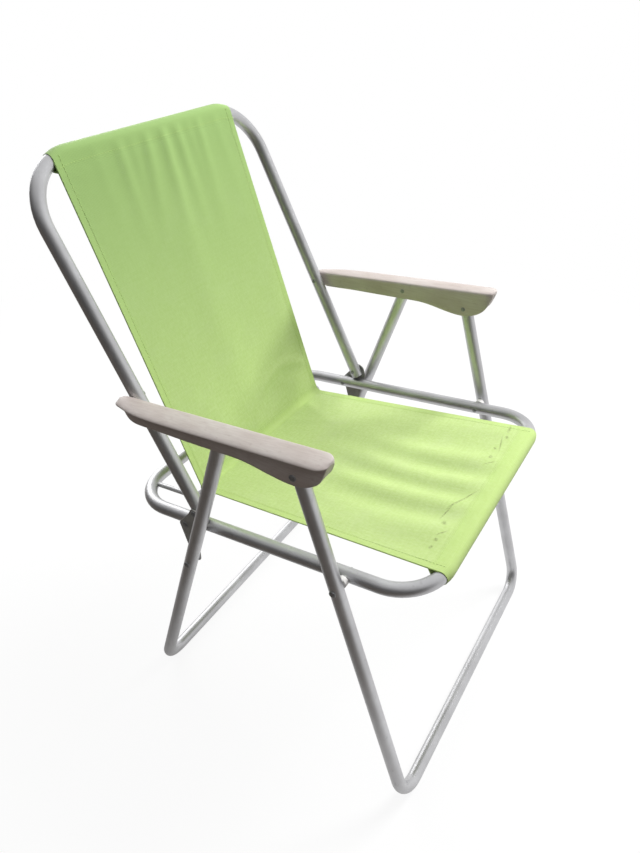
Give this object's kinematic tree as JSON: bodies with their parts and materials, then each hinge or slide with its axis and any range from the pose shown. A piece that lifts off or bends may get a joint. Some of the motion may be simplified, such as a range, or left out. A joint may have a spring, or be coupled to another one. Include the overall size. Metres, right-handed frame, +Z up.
{
  "type": "folding lawn chair",
  "caption": "Folding lawn chair with bent tube frames, scissor legs, flat side brackets, moulded armrests and a mesh sling over the seat and back.",
  "frame": {"origin": "on the floor, at the middle of the chair's footprint box", "axes": "+Z up, -Y the way the sitter faces, +X to the right as seen from the front"},
  "size_m": [0.5024, 0.5638, 0.7714],
  "materials": {
    "frame_coat": "satin silver-grey coat on steel tube",
    "plated_steel": "dull zinc plate",
    "bracket_steel": "dull pressed steel plate",
    "arm_plastic": "moulded off-white plastic, slightly weathered",
    "white_plastic": "moulded white plastic",
    "mesh_cloth": "lime-green vinyl-coated polyester mesh"
  },
  "bodies": {
    "seat": {"seat_frame": "frame_coat", "frame_joiner": "plated_steel", "crease_rod": "frame_coat", "seat_sling": "mesh_cloth", "spacer_left": "white_plastic", "spacer_right": "white_plastic", "seat_rivet_left": "plated_steel", "seat_rivet_right": "plated_steel", "rail_washer_left": "plated_steel", "rail_washer_right": "plated_steel", "rail_rivet_left": "plated_steel", "rail_rivet_right": "plated_steel"},
    "front_legs": {"front_leg_frame": "frame_coat"},
    "armrests": {"armrest_left": "arm_plastic", "armrest_right": "arm_plastic", "arm_front_rivet_left": "plated_steel", "arm_front_rivet_right": "plated_steel", "arm_rear_rivet_left": "plated_steel", "arm_rear_rivet_right": "plated_steel", "arm_back_rivet_head_left": "plated_steel", "arm_back_rivet_head_right": "plated_steel"},
    "brackets": {"bracket_left": "bracket_steel", "bracket_right": "bracket_steel", "leg_washer_left": "plated_steel", "leg_washer_right": "plated_steel", "leg_rivet_left": "plated_steel", "leg_rivet_right": "plated_steel", "back_rivet_left": "plated_steel", "back_rivet_right": "plated_steel"},
    "back": {"back_frame": "frame_coat", "arm_back_rivet_left": "plated_steel", "arm_back_rivet_right": "plated_steel"},
    "rear_legs": {"rear_leg_frame": "frame_coat", "arm_rear_pin_left": "plated_steel", "arm_rear_pin_right": "plated_steel"},
    "sling_back": {"back_sling": "mesh_cloth"}
  },
  "joints": [
    {"name": "front_leg_fold", "type": "hinge", "parent": "seat", "child": "front_legs", "pos_m": [0, -0.15939, 0.363], "axis": [1, 0, 0], "range_deg": [0, 92.2]},
    {"name": "armrest_pivot", "type": "hinge", "parent": "front_legs", "child": "armrests", "pos_m": [0, -0.11099, 0.514], "axis": [1, 0, 0], "range_deg": [-98, 0]},
    {"name": "bracket_pivot", "type": "hinge", "parent": "seat", "child": "brackets", "pos_m": [0, 0.07867, 0.33423], "axis": [1, 0, 0], "range_deg": [-79, 0]},
    {"name": "back_pivot", "type": "hinge", "parent": "brackets", "child": "back", "pos_m": [0, 0.06117, 0.36083], "axis": [1, 0, 0], "range_deg": [0, 190]},
    {"name": "rear_leg_pivot", "type": "hinge", "parent": "brackets", "child": "rear_legs", "pos_m": [0, 0.06493, 0.2841], "axis": [1, 0, 0], "range_deg": [0, 136]},
    {"name": "sling_fold", "type": "hinge", "parent": "seat", "child": "sling_back", "pos_m": [0, 0.10572, 0.331], "axis": [1, 0, 0], "range_deg": [0, 102], "deforming": ["back_sling"]}
  ],
  "couplings": [
    {"joint": "armrest_pivot", "follows": "front_leg_fold", "ratio": -1.0583},
    {"joint": "bracket_pivot", "follows": "front_leg_fold", "ratio": -0.84726},
    {"joint": "back_pivot", "follows": "front_leg_fold", "ratio": 2.05},
    {"joint": "rear_leg_pivot", "follows": "front_leg_fold", "ratio": 1.4681},
    {"joint": "sling_fold", "follows": "front_leg_fold", "ratio": 1.0965}
  ]
}
